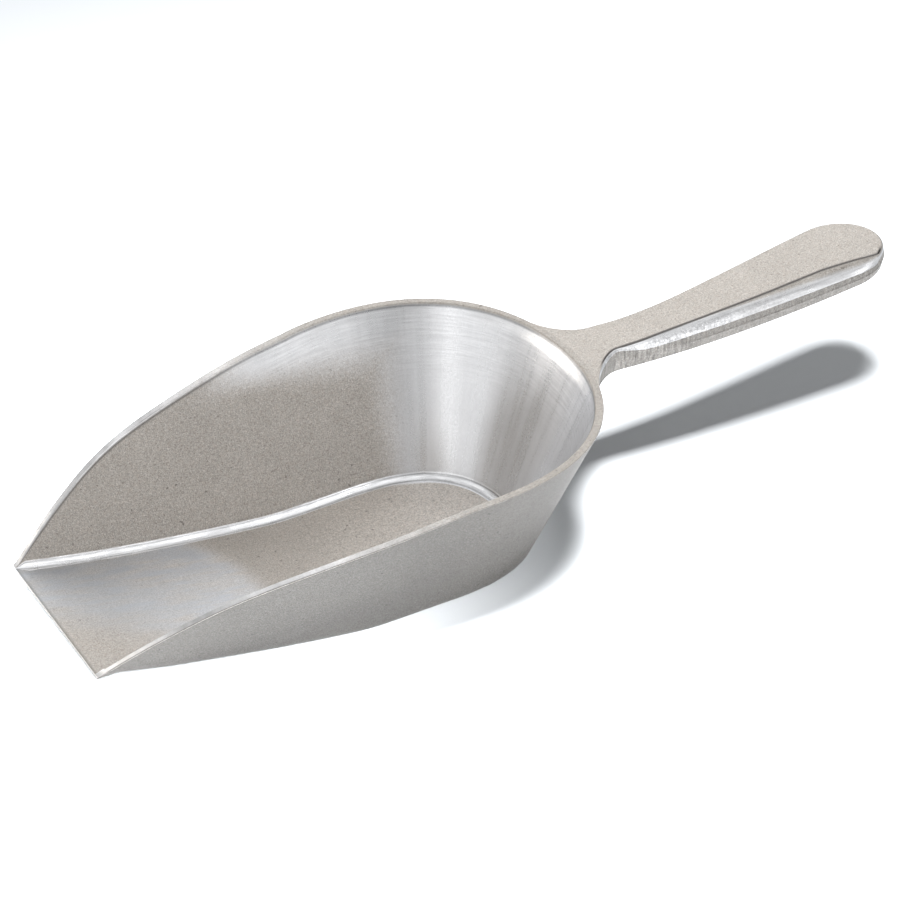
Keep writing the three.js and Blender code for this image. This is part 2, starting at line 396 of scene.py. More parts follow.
def add_outside(section, m, marks):
    """Down the outer wall, past the depth of the handle's root, and round the foot to the underside."""
    outer_top = m.inner_top + m.width
    start, radius, _, foot_z = wall_fillet(m, outer_top, -m.thickness, OUTER_FILLET)
    wall_top = m.height - m.outer_edge
    near_cut = NEAR_ROOT_CUT * smooth(NEAR_ROOT_CUT_START, -NEAR_FLARE_ANGLE, -m.angle)
    root_depth = ROOT_DEPTH * (1 - near_cut)
    root_z = wall_top - np.minimum(root_depth, ROOT_GREATEST_SHARE * (wall_top - foot_z))
    for a in shares(ROOT_ROWS)[1:]:
        z = wall_top + (root_z - wall_top) * a
        section.add(outer_top - (m.height - z) * np.tan(m.lean), z)
    marks["root"] = section.last_row()
    for a in shares(OUTER_WALL_ROWS)[1:]:
        z = root_z + (foot_z - root_z) * a
        section.add(outer_top - (m.height - z) * np.tan(m.lean), z)
    for a in shares(OUTER_FILLET_ROWS)[-2::-1]:
        section.add(start + radius * np.sin(a * m.turn), radius * (1 - np.cos(a * m.turn)) - m.thickness)


def wall_strip():
    """The wall as points (station, row), from the floor's edge over the rim to the underside, and the row
    number of each landmark."""
    points, out = bowl_stations()
    m = wall_measures(points, out)
    section = Section(points[:, 0])
    marks = {}
    add_inside(section, m, marks)
    add_rim(section, m, marks)
    add_outside(section, m, marks)
    strip = section.place_on(points, out)
    strip[:, :, 2] += floor_height(points[:, 0])[:, None]
    return strip, marks


# ---------------------------------------------------------------- the handle

def grip_stations(side):
    """The handle's outline on one side, -1 near and 1 far, from the split to the tip: points and outward
    normals."""
    cap_start = OVERALL_LENGTH - END_CAP_LENGTH
    turn = quarter_turns(CAP_STEPS)
    straight = np.linspace(SPLIT_X, cap_start, GRIP_STEPS + 1)
    middle = (far_line(cap_start) - near_line(cap_start)) / 2
    half = (far_line(cap_start) + near_line(cap_start)) / 2
    line = far_line(straight) if side > 0 else -near_line(straight)
    x = np.concatenate([straight, cap_start + END_CAP_LENGTH * np.sin(turn)])
    y = np.concatenate([line, middle + side * half * np.cos(turn)])
    points = np.column_stack([x, y])
    way = np.gradient(points, axis=0)
    way[0] = (1, 0)
    way[-1] = (0, -side)
    way = unit(way)
    return points, np.column_stack([-way[:, 1], way[:, 0]]) * side


def grip_side(side):
    """The handle's edge on one side as points (station, row), from the crease down to the underside."""
    points, out = grip_stations(side)
    x, half_width = points[:, 0], np.abs(points[:, 1])
    top, bottom = grip_top(x), grip_underside(x)
    least = LEAST_SHOULDER + (TIP_SHOULDER - LEAST_SHOULDER) * smooth(SPLIT_X, TIP_SHOULDER_FROM, x)
    if side < 0:
        shoulder = np.maximum(half_width - crease_line(x), least)
        drop = np.minimum(SHOULDER_DROP, STEEPEST_SHOULDER * shoulder)
    else:
        shoulder = least
        drop = FAR_SHOULDER_DROP * least / TIP_SHOULDER
    drop = drop + (FAR_SHOULDER_DROP - drop) * smooth(EVEN_DROP_FROM, OVERALL_LENGTH, x)
    bulge = SHOULDER_CURVE + SHOULDER_CURVE_RISE * smooth(*SHOULDER_CURVE_CHANGE, x)
    cast = smooth(GRINDING_END - 8, GRINDING_END + 6, x)
    edge = EDGE_INSET * cast
    edge_z = top - drop
    parting_z = edge_z - (top - bottom - drop - BOTTOM_ROUND) * PARTING_SHARE
    low_z = bottom + BOTTOM_ROUND

    section = Section(x)
    section.add(-shoulder, top)
    first = np.minimum(CREASE_HALF_WIDTH / shoulder, CREASE_GREATEST_SHARE)
    for a in shares(SHOULDER_STEPS):
        q = first + (1 - first) * a
        section.add(-shoulder * (1 - q) - edge * q, top - drop * q**bulge)
    for a in UPPER_SIDE_SHARES:
        section.add(-edge * (1 - a), edge_z + (parting_z - edge_z) * a)
    section.add(PARTING_RIDGE * cast, parting_z)
    for a in LOWER_SIDE_SHARES:
        section.add(-EDGE_LEAN * a, parting_z + (low_z - parting_z) * a)
    for a in quarter_turns(BOTTOM_STEPS):
        section.add(-EDGE_LEAN - BOTTOM_ROUND * (1 - np.cos(a)), low_z - BOTTOM_ROUND * np.sin(a))
    return section.place_on(points, out)


def grip_rings(columns):
    """Rings round the handle from the split to the tip. Each runs across the top from the near side to the
    far one, down, back across the underside, and up."""
    share = shares(columns)[:, None]
    rings = []
    for near, far in zip(grip_side(-1), grip_side(1)):
        across = far[0] - near[0]
        first = min(CREASE_HALF_WIDTH / max(np.linalg.norm(across), 1e-6), 1 / columns)
        top_share = np.vstack([share[:1], first + (1 - first) * shares(columns - 1)[:, None]])
        top = near[0] + across * top_share
        under = near[-1] + (far[-1] - near[-1]) * share
        rings.append(np.vstack([top[:-1], far[:-1], under[::-1][:-1], near[::-1][:-1]]))
    return np.array(rings)


def neck_directions(strip, hole):
    """How each vertex of the hole's border sets off towards the handle: along the wall at the sides,
    straight back over the rim, and up the wall below."""
    rows = slice(hole.top, hole.bottom + 1)
    near_wall = unit(strip[hole.start + 1, rows] - strip[hole.start - 1, rows])
    far_wall = unit(strip[hole.end - 1, rows] - strip[hole.end + 1, rows])
    stations = slice(hole.start, hole.end + 1)
    up_wall = unit(strip[stations, hole.bottom - 1] - strip[stations, hole.bottom])
    across = np.linspace(-1, 1, hole.columns + 1)[:, None]
    swing = smooth(0, 1, np.abs(across)) ** 2
    sideways = np.where(across < 0, near_wall[0], far_wall[0])
    over = unit(np.array([1.0, 0, 0]) * (1 - swing) + sideways * swing)
    corner = CORNER_TURN * smooth(SIDE_CORNER_START, 1, shares(hole.side_rows))[:, None]
    near = unit(near_wall * (1 - corner) + up_wall[0] * corner)
    far = unit(far_wall * (1 - corner) + up_wall[-1] * corner)
    mix = CORNER_TURN * smooth(BELOW_CORNER_START, 1, np.abs(across))
    below = unit(up_wall * (1 - mix) + np.where(across < 0, near_wall[-1], far_wall[-1]) * mix)
    return np.vstack([over[:-1], far[:-1], below[::-1][:-1], near[::-1][:-1]])


def neck_reach(hole, near_reach, far_reach):
    """How far each vertex of the hole's border keeps its direction."""
    across = np.linspace(-1, 1, hole.columns + 1)
    outwards = np.abs(across)
    side = np.where(across < 0, near_reach, far_reach)
    over = side * (MIDDLE_REACH_SHARE + (1 - MIDDLE_REACH_SHARE) * outwards)
    below = BELOW_FLARE_REACH + (side - BELOW_FLARE_REACH) * smooth(BELOW_CORNER_START, 1, outwards)
    near = near_reach * np.linspace(NEAR_LOW_REACH_SHARE, 1, hole.side_rows)
    return np.concatenate([over[:-1], np.full(hole.side_rows, far_reach), below[::-1][:-1], near])


def neck_rings(strip, border, hole, last):
    """Rings between the hole's border in the wall and the handle's first ring, without those two."""
    first = strip.reshape(-1, 3)[border]
    leave = neck_directions(strip, hole)
    leave_reach, arrive_reach = (
        neck_reach(hole, near, far) for near, far in zip(NEAR_FLARE_REACH, FAR_FLARE_REACH)
    )
    depth = np.clip(last[:, 2].max() - last[:, 2], 0, LOW_REACH_LIMIT)
    arrive_reach = arrive_reach + LOW_REACH_GAIN * depth
    out = first + leave * leave_reach[:, None]
    back = last - np.array([1, 0, 0]) * arrive_reach[:, None]
    return [bezier([first, out, back, last], t)[0] for t in shares(NECK_STEPS)[1:-1]]


# ---------------------------------------------------------------- the surface

class Surface:
    """Collects vertices and faces."""

    def __init__(self):
        self.vertices = []
        self.count = 0
        self.faces = []

    def add(self, points):
        """Adds points of any array shape, and returns their numbers in a row."""
        points = np.asarray(points, float).reshape(-1, 3)
        self.vertices.append(points)
        self.count += len(points)
        return np.arange(self.count - len(points), self.count)

    def grid(self, index, skip=None, flip=False):
        """Quads over a grid of vertex numbers. A quad with two equal corners becomes a triangle."""
        a, b, c, d = index[:-1, :-1], index[1:, :-1], index[1:, 1:], index[:-1, 1:]
        keep = np.ones(a.shape, bool) if skip is None else ~skip
        for quad in np.stack([a[keep], b[keep], c[keep], d[keep]], 1):
            corners = list(dict.fromkeys(quad.tolist()))
            if len(corners) > 2:
                self.faces.append(corners[::-1] if flip else corners)

    def all_vertices(self):
        return np.vstack(self.vertices)


def handle_hole(strip, marks):
    """The part of the wall strip that the handle leaves open: stations and rows."""
    angle = back_angle(strip[:, marks["outer_edge"]])
    hole = SimpleNamespace(top=marks["outer_edge"], bottom=marks["root"])
    hole.start = int(np.argmax(angle > NEAR_FLARE_ANGLE))
    hole.end = int(np.argmax(angle > FAR_FLARE_ANGLE))
    hole.columns = hole.end - hole.start
    hole.side_rows = hole.bottom - hole.top
    return hole


def hole_border(wall, hole):
    """The vertices round the hole, in the order of the handle's rings."""
    return np.concatenate(
        [
            wall[hole.start : hole.end, hole.top],
            wall[hole.end, hole.top : hole.bottom],
            wall[hole.start + 1 : hole.end + 1, hole.bottom][::-1],
            wall[hole.start, hole.top + 1 : hole.bottom + 1][::-1],
        ]
    )


def add_floor(s, strip, wall, row, flip):
    """A grid between the two sides of one row of the wall: the floor's top or its underside."""
    stations = len(strip)
    half = (stations - 1) // 2
    near, far = strip[: half + 1, row], strip[stations - 1 : half - 1 : -1, row]
    share = shares(FLOOR_COLUMNS)[None, 1:-1, None]
    inner = near[:-1, None] * (1 - share) + far[:-1, None] * share
    index = np.empty((half + 1, FLOOR_COLUMNS + 1), int)
    index[:-1, 1:-1] = s.add(inner).reshape(half, FLOOR_COLUMNS - 1)
    index[:, 0] = wall[: half + 1, row]
    index[:, -1] = wall[stations - 1 : half - 1 : -1, row]
    index[-1] = wall[half, row]
    s.grid(index, flip=flip)
    return index


def close_tip(tip, columns, side_rows):
    """At the tip the two sides meet, so each pair of vertices becomes one, and so do the top's and the
    underside's."""
    low = columns + side_rows
    tip[:columns] = tip[0]
    tip[low : low + columns] = tip[low]
    for r in range(1, side_rows + 1):
        tip[-r] = tip[columns + r]
    tip[columns] = tip[0]


def build_surface():
    """The whole scoop as one surface, and the vertex numbers of its parts."""
    s = Surface()
    parts = SimpleNamespace()
    parts.strip, parts.marks = wall_strip()
    stations, rows = parts.strip.shape[:2]
    parts.wall = s.add(parts.strip).reshape(stations, rows)
    hole = handle_hole(parts.strip, parts.marks)
    open_quads = np.zeros((stations - 1, rows - 1), bool)
    open_quads[hole.start : hole.end, hole.top : hole.bottom] = True
    s.grid(parts.wall, open_quads, flip=True)

    parts.floor = add_floor(s, parts.strip, parts.wall, 0, flip=True)
    underside = add_floor(s, parts.strip, parts.wall, rows - 1, flip=False)
    lip = [*parts.floor[0], *parts.wall[-1, 1:], *underside[0][::-1][1:], *parts.wall[0, ::-1][1:-1]]
    s.faces.append([int(i) for i in lip])

    border = hole_border(parts.wall, hole)
    rings = grip_rings(hole.columns)
    neck = [s.add(ring) for ring in neck_rings(parts.strip, border, hole, rings[0])]
    grip = np.array([s.add(ring) for ring in rings])
    parts.split = grip[0]
    parts.neck = np.array([border, *neck, parts.split])
    s.grid(np.concatenate([parts.neck, parts.neck[:, :1]], 1), flip=True)
    parts.bowl_faces = len(s.faces)
    close_tip(grip[-1], hole.columns, hole.side_rows)
    parts.grip = grip
    s.grid(np.concatenate([grip, grip[:, :1]], 1), flip=True)
    parts.columns, parts.side_rows = hole.columns, hole.side_rows
    return s, parts


def roughen(v, normals):
    """Moves each vertex a little along its normal, as a sand casting's faces are never quite true."""
    shift = np.empty(len(v))
    for i, p in enumerate(v):
        long_wave = noise.noise(Vector(p) / LONG_WAVE_LENGTH)
        short_wave = noise.noise(Vector(p) / SHORT_WAVE_LENGTH + SHORT_WAVE_SHIFT)
        shift[i] = LONG_WAVE_HEIGHT * long_wave + SHORT_WAVE_HEIGHT * short_wave
    return v + normals * shift[:, None]


# ---------------------------------------------------------------- wear and finish, stored on the vertices

# Amounts from 0 to 1 (brushed goes higher) that the material reads, besides tone and flow.
AMOUNTS = ("polish", "brushed", "grind", "dirt", "rubbed", "turned")
# Rows are this far apart in flow where it follows the row and not the height, so strokes run along them.
FLOW_ROW = 0.45
# Where the inside is polished: limits round the back in degrees, and depths under the rim.
POLISHED_BACK_START = (-96, -84)
POLISHED_BACK_END = (52, 74)
BACK_BRUSHING_FADE = (10, 32)
POLISHED_SIDE_START = (-110, -84)
POLISHED_SIDE_END = (104, 132)
POLISHED_SIDE_DEPTH = 26
POLISHED_SIDE_LOSS = 16
POLISHED_SIDE_NARROWING = (66, 128)
TOP_BAND_POLISH = 0.8
TOP_BAND_FADE = (3, 12)
TOP_BAND_END = (96, 128)
# How strongly each part is polished, brushed and ground, and how dark the lines at its edges are.
FILLET_BRUSHING = 2.5
RIM_POLISH = 0.85
RIM_BRUSHING = 3.2
RIM_BRIGHT_END = (50, 150)
SHOULDER_BRUSHING = 1.8
SHOULDER_GRINDING = 0.8
SHOULDER_GRINDING_END = (235, 310)
RIM_DARK_LINE = 0.75
OUTER_WALL_DARK_LINE = 0.7
LIP_DARK_LINE = 0.55
# How dark the painted shade beside the handle's crease is.
BESIDE_CREASE_PAINTED_SHADE = 0.7
# Painted highlights and dark lines along the fillet, one tone for each of its rows: the light tones are
# painted highlights.
FILLET_HIGHLIGHTS_AND_LINES = (0.32, 1.1, 0.56, 0.8, 1.08, 1.2, 1.14, 0.86, 0.52, 1.15, 0.88)
# Outside, the base tone is painted darker: painted shade that offsets the light the bright studio floor
# throws on it from below.
OUTSIDE_PAINTED_SHADE = 0.265
FAR_OUTSIDE_PAINTED_LIGHT = 0.14
FAR_OUTSIDE_CHANGE = (-20, 60)
BACK_OUTSIDE_GAIN = 0.03
BACK_OUTSIDE_CHANGE = (-110, -80)
FOOT_PAINTED_LIGHT = 0.85
FOOT_CHANGE = (30, 64)
RIM_TONE = 0.9
BRIGHT_RIM_LOSS = 0.12
FLOOR_TONE = 0.97
RAMP_GAIN = 0.36
BORDER_LOSS = 0.3
REAR_FLOOR_GAIN = 0.4
# Painted shade on the handle's sides, and on its shoulders, where it dims their highlight.
SIDE_PAINTED_SHADE = 0.5
SHOULDER_PAINTED_SHADE = 0.8
RUBBED_END = 62
RUBBED_CURVE = 12
# The shoulder's rows, counted from the crease: the crease itself is row 0.
SHOULDER_ROWS = SHOULDER_STEPS + 2


def finish_wall(value, parts):
    """The bowl's wall, inside and out. down is the depth under the rim, and turn the angle round the back."""
    marks, strip = parts.marks, parts.strip
    rim = strip[:, marks["rim"]]
    down = rim[:, 2][:, None] - strip[:, :, 2]
    turn = np.broadcast_to(back_angle(strip[:, marks["band"]])[:, None], down.shape)
    value["flow"][parts.wall] = wall_flow(rim, down, marks["fillet_end"])

    # Inside, the round back is polished, and so is a band under the rim beside it.
    inside = np.arange(down.shape[1]) <= marks["inner_edge"]
    back = span(POLISHED_BACK_START, POLISHED_BACK_END, turn)
    reach = POLISHED_SIDE_DEPTH - POLISHED_SIDE_LOSS * smooth(*POLISHED_SIDE_NARROWING, turn)
    beside = (1 - smooth(0.25, 1, down / reach)) * span(POLISHED_SIDE_START, POLISHED_SIDE_END, turn)
    top_band = (1 - smooth(*TOP_BAND_FADE, down)) * (1 - smooth(*TOP_BAND_END, np.abs(turn)))
    top_band = TOP_BAND_POLISH * top_band
    polish = np.maximum(np.maximum(back, beside), top_band) * inside
    brushed_back = back * (1 - smooth(*BACK_BRUSHING_FADE, down))
    brushed = np.maximum(np.maximum(brushed_back, beside), top_band) * inside
    turned = np.maximum(back, beside) * smooth(0, 4, down) * inside
    tone = np.ones(down.shape)

    # The fillet is polished, with painted highlights in bands along its length, between two fine dark lines.
    last = marks["fillet_end"]
    polish[:, 1:last] = 1
    brushed[:, 1:last] = FILLET_BRUSHING
    turned[:, : last + 1] = 0
    tone[:, : last + 1] = FILLET_HIGHLIGHTS_AND_LINES

    # The rim is ground bright towards the lip.
    bright = 1 - smooth(*RIM_BRIGHT_END, rim[:, 0])[:, None]
    on_rim = slice(marks["inner_edge"], marks["outer_edge"] + 1)
    polish[:, on_rim] = RIM_POLISH * bright
    brushed[:, on_rim] = RIM_BRUSHING * bright
    tone[:, on_rim] = RIM_TONE - BRIGHT_RIM_LOSS * bright

    # The outside's painted shade is least dark at its foot and on the far side, where painted light makes up
    # for light it lacks there.
    far = FAR_OUTSIDE_PAINTED_LIGHT * smooth(*FAR_OUTSIDE_CHANGE, turn)
    rear = BACK_OUTSIDE_GAIN * smooth(*BACK_OUTSIDE_CHANGE, turn)
    outside_painted_shade = (OUTSIDE_PAINTED_SHADE + far + rear) * (1 + FOOT_PAINTED_LIGHT * smooth(*FOOT_CHANGE, down))
    tone[:, marks["outer_wall"] :] = outside_painted_shade[:, marks["outer_wall"] :]

    # Dark lines run beside the rim's two edges.
    dirt = np.zeros(down.shape)
    dirt[:, [marks["inner_edge"] - 1, marks["outer_edge"] + 1]] = RIM_DARK_LINE
    dirt[:, marks["outer_wall"]] = OUTER_WALL_DARK_LINE
    for key, values in (
        ("polish", polish), ("brushed", brushed), ("turned", turned), ("tone", tone), ("dirt", dirt),
    ):
        value[key][parts.wall] = values


def wall_flow(rim, down, fillet_end):
    """Along the rim and down the wall, in millimetres."""
    steps = np.linalg.norm(np.diff(rim[:, :2], axis=0), axis=1)
    arc = np.concatenate([[0], np.cumsum(steps)])
    arc -= arc[len(arc) // 2]
    across = down.copy()
    lowest = down[:, fillet_end].max()
    across[:, : fillet_end + 1] = lowest + FLOW_ROW * np.arange(fillet_end + 1)
    return np.stack([np.broadcast_to(arc[:, None], down.shape), across, np.zeros_like(down)], 2)


def finish_floor(value, v, floor):
    """The ramp is rubbed smooth, up to a soft curved border, and the lip's edge has a dark line."""
    x, y = v[floor, 0], v[floor, 1]
    border = RUBBED_END + RUBBED_CURVE * (1 - (y / FLOOR_HALF_WIDTH) ** 2)
    patch = 1 - smooth(-6, 6, x - border)
    value["rubbed"][floor] = patch * smooth(-26, 8, y + (x - 20) * 0.7)
    rise = RAMP_GAIN * smooth(10, border, x) - BORDER_LOSS * smooth(border - 4, border + 6, x)
    value["tone"][floor] = FLOOR_TONE + rise + REAR_FLOOR_GAIN * smooth(border + 4, FLOOR_LENGTH, x)
    value["dirt"][floor[0]] = LIP_DARK_LINE


def finish_crease(value, v, rings):
    """The crease is painted dark, as painted shade in its groove, and so is the metal close beside it."""
    crease = crease_share(v[rings[:, 0], 0])
    value["dirt"][rings[:, 0]] = crease
    value["dirt"][rings[:, 1]] = BESIDE_CREASE_PAINTED_SHADE * crease
    value["dirt"][rings[:, -1]] = BESIDE_CREASE_PAINTED_SHADE * crease


def finish_sides(value, v, rings, columns, side_rows):
    """The handle's shoulders are polished, and its sides are ground, most near the bowl. Both are painted
    darker than the top, as painted shade.
    """
    for corner, step in ((columns, 1), (0, -1)):
        for r in range(1, side_rows):
            ids = rings[:, corner + step * r]
            x = v[ids, 0]
            along = smooth(*SHOULDER_GRINDING_END, x)
            if r < SHOULDER_ROWS:
                value["brushed"][ids] = SHOULDER_BRUSHING
                value["tone"][ids] = SHOULDER_PAINTED_SHADE
                value["flow"][ids] = np.column_stack([x, np.full(len(ids), r * FLOW_ROW), 0 * x])
                value["polish"][ids] = smooth(0.5 + 3 * along, 1.5 + 5 * along, r)
                value["grind"][ids] = SHOULDER_GRINDING * (1 - along) * smooth(2, 6, r)
            else:
                value["grind"][ids] = 1 - 0.55 * smooth(GRINDING_END - 4, GRINDING_END + 6, x)
                value["tone"][ids] = SIDE_PAINTED_SHADE


def finish_values(v, parts):
    """The finish at each vertex. flow runs along the rim and down the wall, in metres."""
    value = {name: np.zeros(len(v)) for name in AMOUNTS}
    value["tone"] = np.ones(len(v))
    value["flow"] = np.zeros((len(v), 3))
    finish_wall(value, parts)
    finish_floor(value, v, parts.floor)
    for rings in (parts.neck[1:], parts.grip):
        finish_crease(value, v, rings)
        finish_sides(value, v, rings, parts.columns, parts.side_rows)
    value["flow"] /= 1000
    return value


# ---------------------------------------------------------------- materials

RAW_METAL = (0.485, 0.46, 0.43, 1)
POLISHED_METAL = (0.72, 0.725, 0.74, 1)
RUBBED_METAL = (0.40, 0.415, 0.44, 1)
STAIN_COLOUR = (0.42, 0.375, 0.335, 1)
PIT_COLOUR = (0.12, 0.11, 0.10, 1)
DARK_LINE_COLOUR = (0.045, 0.045, 0.05, 1)
FLOOR_COLOUR = (0.27, 0.28, 0.29, 1)
METALLIC = 0.9
RAW_ROUGHNESS = 0.56
POLISHED_ROUGHNESS = 0.30
# How deep the relief is, in metres, and how much of it raw and polished metal show.
GRAIN_DEPTH = 0.00022
STROKE_DEPTH = 0.00012
GRINDING_DEPTH = 0.0003
RAW_GRAIN = 0.7
POLISHED_GRAIN = 0.03


class Nodes:
    """Short names for making and joining the nodes of one material or world."""

    def __init__(self, owner):
        owner.use_nodes = True
        self.tree = owner.node_tree
        self.tree.nodes.clear()

    def new(self, kind, **settings):
        node = self.tree.nodes.new(kind)
        for key, value in settings.items():
            setattr(node, key, value)
        return node

    def put(self, socket, value):
        if isinstance(value, bpy.types.NodeSocket):
            self.tree.links.new(value, socket)
        else:
            socket.default_value = value

    def attribute(self, name, output="Fac"):
        return self.new("ShaderNodeAttribute", attribute_name=name).outputs[output]

    def math(self, operation, a, b):
        node = self.new("ShaderNodeMath", operation=operation)
        self.put(node.inputs[0], a)
        self.put(node.inputs[1], b)
        return node.outputs[0]

    def add(self, a, b):
        return self.math("ADD", a, b)

    def times(self, a, b):
        return self.math("MULTIPLY", a, b)

    def noise(self, vector, scale, detail, rough=0.55):
        node = self.new("ShaderNodeTexNoise")
        self.put(node.inputs["Vector"], vector)
        self.put(node.inputs["Scale"], scale)
        self.put(node.inputs["Detail"], detail)
        self.put(node.inputs["Roughness"], rough)
        return node.outputs["Fac"]

    def stretch(self, vector, scale):
        node = self.new("ShaderNodeVectorMath", operation="MULTIPLY")
        self.put(node.inputs[0], vector)
        node.inputs[1].default_value = scale
        return node.outputs[0]

    def remap(self, value, low, high, to_low=0.0, to_high=1.0):
        node = self.new("ShaderNodeMapRange", clamp=True)
        self.put(node.inputs["Value"], value)
        self.put(node.inputs["From Min"], low)
        self.put(node.inputs["From Max"], high)
        self.put(node.inputs["To Min"], to_low)
        self.put(node.inputs["To Max"], to_high)
        return node.outputs["Result"]

    def spread(self, noise, low, high):
        """A noise, which seldom leaves 0.3 to 0.7, spread out to run from low to high."""
        return self.remap(noise, 0.3, 0.7, low, high)

    def mix(self, share, a, b):
        """Mixes colours, which a Mix node has at inputs 6 and 7 and at output 2."""
        node = self.new("ShaderNodeMix", data_type="RGBA")
        self.put(node.inputs["Factor"], share)
        self.put(node.inputs[6], a)
        self.put(node.inputs[7], b)
        return node.outputs[2]

    def scale_colour(self, colour, value):
        node = self.new("ShaderNodeVectorMath", operation="SCALE")
        self.put(node.inputs[0], colour)
        self.put(node.inputs["Scale"], value)
        return node.outputs[0]

    def bump(self, height, distance, strength, normal=None):
        node = self.new("ShaderNodeBump")
        self.put(node.inputs["Height"], height)
        self.put(node.inputs["Distance"], distance)
        self.put(node.inputs["Strength"], strength)
        if normal is not None:
            self.put(node.inputs["Normal"], normal)
        return node.outputs["Normal"]


def metal_textures(n):
    """The noises and the amounts that the metal is made from. A scale of 1000 has grains of about 1 mm."""
    t = SimpleNamespace()
    where = n.new("ShaderNodeTexCoord").outputs["Object"]
    flow = n.attribute("flow", "Vector")
    t.cloud = n.noise(where, 45, 3)
    t.stain = n.noise(where, 900, 2, 0.6)
    t.pits = n.noise(where, 700, 0)
    t.fine = n.noise(where, 2100, 3, 0.75)
    t.grain = n.noise(where, 2400, 2, 0.6)
    t.strokes = n.noise(n.stretch(flow, (60, 1300, 1)), 1, 3, 0.65)
    t.streaks = n.noise(n.stretch(flow, (200, 9, 1)), 1, 2, 0.6)
    t.grinding = n.noise(n.stretch(where, (1100, 1100, 90)), 1, 2, 0.7)
    rubbing = n.noise(n.stretch(where, (55, 260, 55)), 1, 3, 0.6)

    t.polish = n.times(n.attribute("polish"), n.remap(t.cloud, 0.25, 0.5, 0.92, 1))
    t.rubbed = n.times(n.attribute("rubbed"), n.remap(rubbing, 0.32, 0.62, 0.35, 1))
    t.smoothed = n.math("MAXIMUM", t.polish, n.times(t.rubbed, 0.6))
    t.raw = n.math("SUBTRACT", 1.0, t.smoothed)
    t.brushed = n.attribute("brushed")
    t.grind = n.attribute("grind")
    t.turned = n.attribute("turned")
    t.dirt = n.times(n.attribute("dirt"), n.remap(t.fine, 0.35, 0.6, 0.6, 1))
    return t


def metal_colour(n, t):
    """Raw or polished metal, with stains and pits where it is raw, the rubbed patch, and dark lines on top,
    which along the handle's crease are painted shade.
    """
    metal = n.mix(t.polish, RAW_METAL, POLISHED_METAL)
    metal = n.mix(n.times(n.remap(t.stain, 0.4, 0.7, 0, 0.6), t.raw), metal, STAIN_COLOUR)
    metal = n.mix(n.times(n.remap(t.pits, 0.79, 0.85, 0, 0.5), t.raw), metal, PIT_COLOUR)
    metal = n.mix(t.rubbed, metal, RUBBED_METAL)
    return n.mix(n.times(t.dirt, 0.95), metal, DARK_LINE_COLOUR)


def metal_tone(n, t):
    """How light the metal is: speckled where raw, with the marks of grinding, brushing and polishing."""
    speckle = n.times(n.spread(t.fine, 0.62, 1.34), t.raw)
    soft_speckle = n.times(n.spread(t.fine, 0.94, 1.05), t.smoothed)
    tone = n.times(n.add(speckle, soft_speckle), n.attribute("tone"))
    tone = n.times(tone, n.spread(t.cloud, 0.965, 1.035))
    ground = n.times(t.grind, n.remap(t.grinding, 0.35, 0.65, -0.28, 0.3))
    tone = n.times(tone, n.add(1.0, ground))
    streaking = n.times(n.spread(t.streaks, -0.05, 0.05), t.turned)
    brushing = n.times(n.spread(t.strokes, -0.12, 0.12), t.brushed)
    return n.times(tone, n.add(n.add(streaking, brushing), 1.0))


def metal_roughness(n, t):
    """Smoother where polished, and a little uneven with the grain and along the polisher's way."""
    roughness = n.remap(t.smoothed, 0, 1, RAW_ROUGHNESS, POLISHED_ROUGHNESS)
    roughness = n.add(roughness, n.spread(t.fine, 0.05, -0.05))
    return n.add(roughness, n.times(n.spread(t.streaks, -0.06, 0.06), t.polish))


def metal_normal(n, t):
    """The sand grain, the brush strokes and the grinding marks."""
    normal = n.bump(t.grain, GRAIN_DEPTH, n.remap(t.smoothed, 0, 1, RAW_GRAIN, POLISHED_GRAIN))
    normal = n.bump(t.strokes, STROKE_DEPTH, n.times(t.brushed, 0.5), normal)
    return n.bump(t.grinding, GRINDING_DEPTH, n.times(t.grind, 0.7), normal)


def cast_aluminium():
    """Sand-cast aluminium: matte and speckled where it is raw, smoother and cooler where it is polished."""
    material = bpy.data.materials.new("cast_aluminium_finish")
    n = Nodes(material)
    t = metal_textures(n)
    shader = n.new("ShaderNodeBsdfPrincipled")
    shader.inputs["Metallic"].default_value = METALLIC
    n.put(shader.inputs["Base Color"], n.scale_colour(metal_colour(n, t), metal_tone(n, t)))
    n.put(shader.inputs["Roughness"], metal_roughness(n, t))
    n.put(shader.inputs["Normal"], metal_normal(n, t))
    out = n.new("ShaderNodeOutputMaterial")
    n.put(out.inputs["Surface"], shader.outputs[0])
    return material


def floor_material():
    material = bpy.data.materials.new("studio_floor")
    n = Nodes(material)
    shader = n.new("ShaderNodeBsdfPrincipled")
    shader.inputs["Base Color"].default_value = FLOOR_COLOUR
    shader.inputs["Roughness"].default_value = 0.9
    shader.inputs["Specular IOR Level"].default_value = 0.0
    out = n.new("ShaderNodeOutputMaterial")
    n.put(out.inputs["Surface"], shader.outputs[0])
    return material


# ---------------------------------------------------------------- the scoop

def in_frame(points):
    """From the scoop's own millimetres to the frame's metres, inside the CAD box."""
    low, high = np.array(CAD_BOX)
    origin = np.array([low[0], (low[1] + high[1]) / 2, low[2] + FLOOR_THICKNESS / 1000])
    return np.clip(points / 1000 + origin, low, high)


def smooth_mesh(name, vertices, faces):
    """A mesh that is shaded smooth, but for edges sharper than SHARP_ANGLE."""
    mesh = bpy.data.meshes.new(name)
    mesh.from_pydata(vertices.tolist(), [], faces)
    mesh.update()
    mesh.polygons.foreach_set("use_smooth", [True] * len(mesh.polygons))
    mesh.set_sharp_from_angle(angle=SHARP_ANGLE)
    return mesh


def vertex_normals(vertices, faces):
    mesh = smooth_mesh("whole", vertices, faces)
    normals = np.array([v.normal[:] for v in mesh.vertices])
    bpy.data.meshes.remove(mesh)
    return normals


